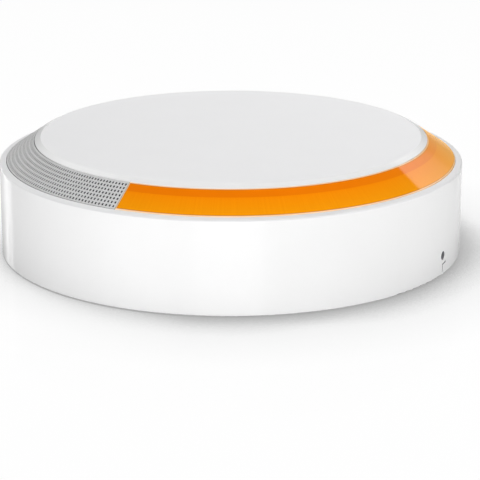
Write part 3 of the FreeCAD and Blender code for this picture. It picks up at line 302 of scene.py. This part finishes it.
def orange_polycarbonate():
    """Tinted polycarbonate flash lens, moulded and polished: deep orange and glossy.

    Fine radial ribs show through it and its inner step is darker. A pale painted highlight runs along its
    cut edges, with a brown line of painted shade beside it. An orange sheen stands for the light that the
    tinted body gathers, which keeps it bright where it is seen at a slant.
    """
    rib_pitch = 0.9 * MM
    rib_share = 0.35
    step_blur = 0.15 * MM
    painted_highlight_width = 0.2 * MM
    painted_line_starts = 0.45 * MM
    painted_line_ends = 0.75 * MM
    material, tree, place = start_material("orange_polycarbonate")
    radius = radius_of(tree, place)
    rib_place = add(tree, "ShaderNodeMath", {0: angle_of(tree, place), 1: LENS_STEP / rib_pitch},
                    operation="MULTIPLY")
    rib = add(tree, "ShaderNodeTexNoise", {"W": rib_place, "Scale": 1.0, "Detail": 1.5},
              noise_dimensions="1D")
    outwards = add(tree, "ShaderNodeMapRange",
                   {"Value": radius, "From Min": LENS_STEP, "From Max": RING_OUTER})
    plain = add(tree, "ShaderNodeMix", {0: outwards, 6: linear("#FF8D00"), 7: linear("#FFA508")},
                data_type="RGBA")
    ribbed = add(tree, "ShaderNodeMix", {0: rib, 6: linear("#F08000"), 7: linear("#FF9E10")},
                 data_type="RGBA")
    face = add(tree, "ShaderNodeMix", {0: rib_share, 6: plain, 7: ribbed}, data_type="RGBA")
    past_step = add(tree, "ShaderNodeMapRange", {"Value": radius, "From Min": LENS_STEP - step_blur,
                                                 "From Max": LENS_STEP + step_blur})
    stepped = add(tree, "ShaderNodeMix", {0: past_step, 6: linear("#F57C02"), 7: face}, data_type="RGBA")
    edge = lens_edge_distance(tree, place, radius)
    # Painted shade: a brown line beside the lens's cut edges
    past_painted_line = add(tree, "ShaderNodeMapRange",
                     {"Value": edge, "From Min": painted_line_starts, "From Max": painted_line_ends})
    with_painted_line = add(tree, "ShaderNodeMix", {0: past_painted_line, 6: linear("#D27A1E"), 7: stepped}, data_type="RGBA")
    # Painted highlight: the cut edges themselves are pale
    past_painted_highlight = add(tree, "ShaderNodeMapRange",
                    {"Value": edge, "From Min": painted_highlight_width, "From Max": painted_line_starts})
    colour = add(tree, "ShaderNodeMix", {0: past_painted_highlight, 6: linear("#FFD9AE"), 7: with_painted_line}, data_type="RGBA")
    shader = add(tree, "ShaderNodeBsdfPrincipled",
                 {"Base Color": colour, "Roughness": 0.05, "IOR": POLYCARBONATE_IOR,
                  "Specular IOR Level": 0.35, "Sheen Weight": 1.0, "Sheen Roughness": 0.4,
                  "Sheen Tint": linear("#FFBC38")})
    add(tree, "ShaderNodeOutputMaterial", {"Surface": shader})
    return material


def woven_mesh():
    """Polyester insect mesh: dark threads crossing, seen through the grille's slots.

    A real mesh's pitch of about 1 mm is too fine to show there, so it is drawn three times as coarse. The
    wave texture turns by wave_radians per unit.
    """
    thread_pitch = 3.14 * MM
    thread_height = 0.15 * MM
    wave_radians = 20.0
    scale = 2.0 * math.pi / (wave_radians * thread_pitch)
    material, tree, place = start_material("woven_polyester_mesh")
    waves = []
    for direction in ("X", "Y"):
        wave = add(tree, "ShaderNodeTexWave", {"Vector": place, "Scale": scale}, bands_direction=direction)
        waves.append(wave.outputs[1])
    crossing = add(tree, "ShaderNodeMath", {0: waves[0], 1: waves[1]}, operation="MAXIMUM")
    colour = add(tree, "ShaderNodeMix", {0: crossing, 6: linear("#0E0F10"), 7: linear("#2A2B2C")},
                 data_type="RGBA")
    bump = add(tree, "ShaderNodeBump", {"Height": crossing, "Distance": thread_height})
    shader = add(tree, "ShaderNodeBsdfPrincipled", {"Base Color": colour, "Roughness": 0.8, "Normal": bump})
    add(tree, "ShaderNodeOutputMaterial", {"Surface": shader})
    return material


def circuit_board():
    """Fibreglass board under green solder mask: satin green, with copper tracks as raised lighter lines."""
    track_length = 9.0 * MM
    track_pitch = 2.4 * MM
    track_width = 0.35 * MM
    track_height = 0.05 * MM
    track_shift = 0.37
    mask = (0, 0, 0, 1)
    track = (1, 1, 1, 1)
    material, tree, place = start_material("solder_masked_board")
    tracks = add(tree, "ShaderNodeTexBrick",
                 {"Vector": place, "Scale": 1.0, "Brick Width": track_length, "Row Height": track_pitch,
                  "Mortar Size": track_width, "Color1": mask, "Color2": mask, "Mortar": track},
                 offset=track_shift)
    colour = add(tree, "ShaderNodeMix", {0: tracks, 6: linear("#0B3B1E"), 7: linear("#1B6435")},
                 data_type="RGBA")
    bump = add(tree, "ShaderNodeBump", {"Height": tracks, "Distance": track_height})
    shader = add(tree, "ShaderNodeBsdfPrincipled", {"Base Color": colour, "Roughness": 0.32, "Normal": bump})
    add(tree, "ShaderNodeOutputMaterial", {"Surface": shader})
    return material


def metal(name, colour, roughness, brush_mm=0.25):
    """Bare or plated metal with faint turning or drawing marks."""
    gloss_spread = 0.3
    dull_shade = 0.15
    material, tree, place = start_material(name)
    marks = add(tree, "ShaderNodeTexNoise", {"Vector": place, "Scale": 1.0 / (brush_mm * MM), "Detail": 3.0})
    gloss = add(tree, "ShaderNodeMapRange", {"Value": marks, "To Min": roughness * (1.0 - gloss_spread),
                                             "To Max": roughness * (1.0 + gloss_spread)})
    base = linear(colour)
    tint = add(tree, "ShaderNodeMix", {0: marks, 6: darkened(base, dull_shade), 7: base}, data_type="RGBA")
    shader = add(tree, "ShaderNodeBsdfPrincipled", {"Base Color": tint, "Metallic": 1.0, "Roughness": gloss})
    add(tree, "ShaderNodeOutputMaterial", {"Surface": shader})
    return material


def silicone_rubber():
    """Moulded silicone seal: dark, matt, with a dusty sheen."""
    material, tree, place = start_material("silicone_rubber")
    shader = add(tree, "ShaderNodeBsdfPrincipled",
                 {"Base Color": linear("#1B1B1C"), "Roughness": 0.62, "Sheen Weight": 0.15,
                  "IOR": SILICONE_IOR, "Normal": grain_bump(tree, place, size_mm=0.6, depth_mm=0.03)})
    add(tree, "ShaderNodeOutputMaterial", {"Surface": shader})
    return material


def cell_sleeve():
    """Shrink sleeve of a lithium cell: glossy film in two plain bands, bare of words."""
    band_starts = 26.0 * MM
    material, tree, place = start_material("cell_sleeve")
    along = add(tree, "ShaderNodeSeparateXYZ", {0: place}).outputs["X"]
    aside = add(tree, "ShaderNodeMath", {0: along}, operation="ABSOLUTE")
    band = add(tree, "ShaderNodeMath", {0: aside, 1: band_starts}, operation="GREATER_THAN")
    colour = add(tree, "ShaderNodeMix", {0: band, 6: linear("#2C5A93"), 7: linear("#C9CDD2")},
                 data_type="RGBA")
    shader = add(tree, "ShaderNodeBsdfPrincipled",
                 {"Base Color": colour, "Roughness": 0.22,
                  "Normal": grain_bump(tree, place, size_mm=3.0, depth_mm=0.05)})
    add(tree, "ShaderNodeOutputMaterial", {"Surface": shader})
    return material


# Finishes, by the real material. A moulded one gives its colour, roughness, grain size and depth in
# millimetres, and how much its flow marks darken it; a metal gives its colour, roughness and mark size.

gloss_white = glossy_shell()
satin_white = satin_cap()
grille_grey = slotted_abs()

# Spark-eroded tool face: a soft off-white without a mirror image
rear_white = moulded_plastic("spark_textured_abs", "#EEEEEC", 0.55, 0.5, 0.03, 0.02)

# Clean polished white that throws the flash outwards
reflector_white = moulded_plastic("reflector_white_pc", "#F8F8F8", 0.25, 2.0, 0.01)

# Plain black and grey parts from a lightly textured tool: a dull shine that shows their edges
black_abs = moulded_plastic("black_abs", "#1A1A1C", 0.42, 0.5, 0.02, 0.15)
grey_abs = moulded_plastic("mid_grey_abs", "#8C8E90", 0.45, 0.5, 0.02)

# Soft-touch button: matt and without highlights
button_grey = moulded_plastic("button_grey_tpe", "#9A9C9E", 0.6, 0.4, 0.02)

# Cast epoxy of the chips: matt black with a sandy grain
chip_epoxy = moulded_plastic("black_epoxy", "#141416", 0.5, 0.2, 0.02, 0.2)

# Phosphor gel of the flash's light sources: a warm pale yellow
led_phosphor = moulded_plastic("led_phosphor", "#F2DC7A", 0.35, 0.2, 0.02)

# Shrunk film over the capacitors: smooth dark blue with a clear highlight
capacitor_sleeve = moulded_plastic("capacitor_sleeve_pet", "#22386B", 0.25, 2.0, 0.02)

# Extruded wire insulation: smooth waxy red
wire_red = moulded_plastic("red_wire_pvc", "#B01812", 0.4, 1.0, 0.02)

# Wound wire and pressed ferrite of the transformer: blotched copper brown with a coarse grain
ferrite = moulded_plastic("ferrite_and_enamelled_wire", "#7A4A2A", 0.4, 0.3, 0.08, 0.4)

orange_lens = orange_polycarbonate()
insect_mesh = woven_mesh()
board_green = circuit_board()
rubber = silicone_rubber()
cell_film = cell_sleeve()

# Zinc plating gives screws a pale soft shine, blackening makes the closure screw's head read dark
plated_steel = metal("zinc_plated_steel", "#C4C6C9", 0.32)
black_steel = metal("blackened_steel", "#3C3C3E", 0.38)

# Drawn spring wire and contacts: the brightest metal, with sharp highlights
drawn_wire = metal("bright_drawn_wire", "#D2D4D6", 0.2)

# Dipped tin on the radio's can and the antenna: warm grey with broad clouds
tinned = metal("tinned_steel", "#BFC0BC", 0.3, 1.0)

# Turned brass: warm yellow with fine tool marks
brass = metal("turned_brass", "#C9A256", 0.28)

finish_of = {
    "housing_shell": gloss_white, "top_cap": satin_white, "flash_lens": orange_lens,
    "sound_grille": grille_grey, "insect_screen": insect_mesh, "light_reflector": reflector_white,
    "flash_board": board_green, "flash_board_screws": plated_steel, "flash_leds": led_phosphor,
    "rear_chassis": rear_white, "housing_seal": rubber, "chassis_screws": plated_steel,
    "pressure_vent": black_abs, "closure_insert": brass, "main_board": board_green,
    "board_screws": plated_steel, "radio_module": tinned, "board_chips": chip_epoxy,
    "storage_capacitors": capacitor_sleeve, "step_up_transformer": ferrite, "antenna": tinned,
    "tamper_switch": black_abs, "tamper_spring": drawn_wire, "button_switch": black_abs,
    "sounder_body": black_abs, "piezo_disc": brass, "sounder_clamp_ring": grey_abs,
    "sounder_screws": plated_steel, "sound_horn": black_abs, "battery_cells": cell_film,
    "battery_contacts": drawn_wire, "battery_lead": wire_red, "sounder_lead": wire_red,
    "flash_lead": wire_red, "lead_plugs": rear_white, "battery_cover": rear_white,
    "battery_cover_seal": rubber, "cover_screws": plated_steel, "tamper_plunger": grey_abs,
    "pairing_button": button_grey, "closure_screw": black_steel, "wall_plate": rear_white,
}
for name, finish in finish_of.items():
    piece = nodes[name]
    piece.data.materials.clear()
    piece.data.materials.append(finish)


# Studio

def studio_way(azimuth, elevation):
    """Unit direction from the object, at a studio angle and a height angle in degrees."""
    turn = math.radians(azimuth + STUDIO_TURN)
    rise = math.radians(elevation)
    return Vector((math.cos(turn) * math.cos(rise), math.sin(turn) * math.cos(rise), math.sin(rise)))


def seen_directly(tree):
    """1 for what the camera sees, and for what it sees mirrored or through something clear."""
    path = add(tree, "ShaderNodeLightPath")
    share = path.outputs["Is Camera Ray"]
    for ray in ("Is Glossy Ray", "Is Transmission Ray"):
        share = add(tree, "ShaderNodeMath", {0: share, 1: path.outputs[ray]}, operation="MAXIMUM")
    return share


def painted_contact_shade(tree, place, openness):
    """Grey of the table's painted contact shade: darker where the table is less open to the sky, lighter
    towards the lamps' side.
    """
    way = add(tree, "ShaderNodeVectorMath", {0: place}, operation="NORMALIZE")
    lit_way = add(tree, "ShaderNodeVectorMath", {0: way, 1: studio_way(LIT_SIDE_AZIMUTH, 0.0)},
                  operation="DOT_PRODUCT")
    lit_side = add(tree, "ShaderNodeMapRange",
                   {"Value": lit_way, "From Min": LIT_SIDE_STARTS, "From Max": LIT_SIDE_FULL,
                    "To Max": LIT_SIDE_OPENING})
    both = add(tree, "ShaderNodeMath", {0: openness, 1: lit_side}, operation="ADD")
    ramp = add(tree, "ShaderNodeValToRGB", {0: both})
    stops = ramp.color_ramp.elements
    while len(stops) < len(PAINTED_SHADE_LEVELS):
        stops.new(0.5)
    for stop, (where, level) in zip(stops, PAINTED_SHADE_LEVELS):
        stop.position = where
        stop.color = (level, level, level, 1)
    return ramp


def acrylic_table():
    """Cast white acrylic: glossy enough for a weak mirror image of the siren, and its lit part takes the
    siren's real shadow.

    To the camera and in mirrors most of its look is an even white of its own with a painted contact shade
    in it, so that it meets the white background without an edge. Its colour is also painted grey near the
    siren's foot.
    """
    grey_openness = 0.5
    white_openness = 0.9
    material, tree, place = start_material("white_acrylic_table")
    waves = add(tree, "ShaderNodeTexNoise", {"Vector": place, "Scale": 1.0 / TABLE_WAVE, "Detail": 1.0})
    white = add(tree, "ShaderNodeMix", {0: waves, 6: linear("#F9F9F9"), 7: linear("#FBFBFB")},
                data_type="RGBA")
    contact = add(tree, "ShaderNodeAmbientOcclusion", {"Distance": CONTACT_REACH}, samples=CONTACT_SAMPLES)
    openness = contact.outputs["AO"]
    clear_of_painted_shade = add(tree, "ShaderNodeMapRange",
                    {"Value": openness, "From Min": grey_openness, "From Max": white_openness})
    # Painted shade: the table's colour greys towards the siren's foot
    table = add(tree, "ShaderNodeMix", {0: clear_of_painted_shade, 6: linear("#B4B4B4"), 7: white}, data_type="RGBA")
    lit = add(tree, "ShaderNodeBsdfPrincipled", {"Base Color": table, "Roughness": 0.14, "IOR": ACRYLIC_IOR,
                                                 "Specular IOR Level": 0.4})
    # The table's own white carries the painted contact shade
    own_white = add(tree, "ShaderNodeEmission", {"Color": painted_contact_shade(tree, place, openness),
                                                 "Strength": 1.0})
    camera_ray = add(tree, "ShaderNodeLightPath").outputs["Is Camera Ray"]
    mirrored = add(tree, "ShaderNodeMath", {0: seen_directly(tree), 1: OWN_WHITE_MIRRORED},
                   operation="MULTIPLY")
    share = add(tree, "ShaderNodeMath", {0: camera_ray, 1: OWN_WHITE_CAMERA, 2: mirrored},
                operation="MULTIPLY_ADD")
    surface = add(tree, "ShaderNodeMixShader", {0: share, 1: lit, 2: own_white})
    add(tree, "ShaderNodeOutputMaterial", {"Surface": surface})
    return material


def make_floor():
    """The table top: a large square just under the siren's back."""
    corners = []
    for x, y in ((-1, -1), (1, -1), (1, 1), (-1, 1)):
        corners.append((x * TABLE_HALF, y * TABLE_HALF, -TABLE_DROP))
    mesh = bpy.data.meshes.new("table_top")
    mesh.from_pydata(corners, [], [(0, 1, 2, 3)])
    floor = bpy.data.objects.new("table_top", mesh)
    bpy.context.scene.collection.objects.link(floor)
    floor.data.materials.append(acrylic_table())


def make_lamp(name, azimuth, elevation, distance, width, height, power):
    """A softbox that faces the siren, in degrees, metres and watts."""
    data = bpy.data.lights.new(name, "AREA")
    data.shape = "RECTANGLE"
    data.size = width
    data.size_y = height
    data.energy = power
    lamp = bpy.data.objects.new(name, data)
    way = studio_way(azimuth, elevation)
    lamp.location = way * distance + LAMP_TARGET
    lamp.rotation_mode = "QUATERNION"
    lamp.rotation_quaternion = way.to_track_quat("Z", "Y")
    bpy.context.scene.collection.objects.link(lamp)


def make_world():
    """A white cove round the table under a nearly black ceiling, which glossy pieces mirror in full.

    The cove lights the rest at COVE_LIGHT of its brightness, and the camera itself sees plain white.
    """
    world = bpy.data.worlds.new("studio")
    bpy.context.scene.world = world
    world.use_nodes = True
    tree = world.node_tree
    tree.nodes.clear()
    way = add(tree, "ShaderNodeTexCoord").outputs["Generated"]
    rise = add(tree, "ShaderNodeSeparateXYZ", {0: way}).outputs["Z"]
    dim_top = math.sin(math.radians(COVE_DIM_RISE))
    cove_top = math.sin(math.radians(COVE_RISE))
    climb = add(tree, "ShaderNodeMapRange", {"Value": rise, "From Min": dim_top, "From Max": cove_top})
    bright = (COVE_TOP_LEVEL, COVE_TOP_LEVEL, COVE_TOP_LEVEL, 1)
    dark = (CEILING_LEVEL, CEILING_LEVEL, CEILING_LEVEL, 1)
    cove_white = add(tree, "ShaderNodeMix", {0: climb, 6: linear("#A0A0A0"), 7: bright}, data_type="RGBA")
    ceiling = add(tree, "ShaderNodeMapRange", {"Value": rise, "From Min": cove_top - COVE_EDGE_BLUR,
                                               "From Max": cove_top + COVE_EDGE_BLUR})
    colour = add(tree, "ShaderNodeMix", {0: ceiling, 6: cove_white, 7: dark}, data_type="RGBA")
    level = add(tree, "ShaderNodeMath", {0: seen_directly(tree), 1: 1.0 - COVE_LIGHT, 2: COVE_LIGHT},
                operation="MULTIPLY_ADD")
    cove = add(tree, "ShaderNodeBackground", {"Color": colour, "Strength": level})
    white = add(tree, "ShaderNodeBackground", {"Color": (1, 1, 1, 1), "Strength": 1.0})
    camera_ray = add(tree, "ShaderNodeLightPath").outputs["Is Camera Ray"]
    shown = add(tree, "ShaderNodeMixShader", {0: camera_ray, 1: cove, 2: white})
    add(tree, "ShaderNodeOutputWorld", {"Surface": shown})


def make_camera():
    """The photograph's camera: a long lens that aims a little below and beside the siren's middle."""
    data = bpy.data.cameras.new("camera")
    data.lens = CAMERA_LENS
    data.sensor_width = CAMERA_SENSOR
    data.clip_start = CAMERA_NEAR
    data.clip_end = CAMERA_FAR
    camera = bpy.data.objects.new("camera", data)
    bpy.context.scene.collection.objects.link(camera)
    back = studio_way(CAMERA_AZIMUTH, CAMERA_ELEVATION)
    camera.location = CAMERA_TARGET + back * CAMERA_DISTANCE
    right = Vector((0, 0, 1)).cross(back).normalized()
    up = back.cross(right)
    aim = CAMERA_TARGET - up * CAMERA_AIM_BELOW + right * CAMERA_AIM_RIGHT
    camera.rotation_mode = "QUATERNION"
    camera.rotation_quaternion = (camera.location - aim).to_track_quat("Z", "Y")
    bpy.context.scene.camera = camera


make_floor()
make_world()

# Lamps: name, azimuth, elevation, distance, width, height, power
make_lamp("front_softbox", -90, 28, 1.5, 0.8, 0.8, 3.4)
make_lamp("front_low_softbox", -90, 8, 1.5, 0.8, 0.8, 8.6)
make_lamp("left_softbox", -135, 28, 1.5, 0.8, 0.8, 5.6)
make_lamp("right_near_softbox", -5, 50, 0.55, 0.18, 0.2, 0.88)
make_lamp("right_softbox", -20, 32, 1.5, 0.6, 0.6, 1.8)
make_lamp("top_softbox", -30, 66, 1.5, 0.6, 0.6, 1.0)
make_lamp("back_near_softbox", 100, 52, 0.5, 0.2, 0.2, 0.38)
make_lamp("back_softbox", 90, 20, 1.5, 0.8, 0.8, 1.6)
make_lamp("left_back_softbox", 118, 44, 1.5, 0.5, 0.5, 1.3)
make_lamp("left_back_strip", 128.5, 14, 1.5, 0.36, 0.7, 3.9)

make_camera()
bpy.context.scene.view_settings.view_transform = "Standard"
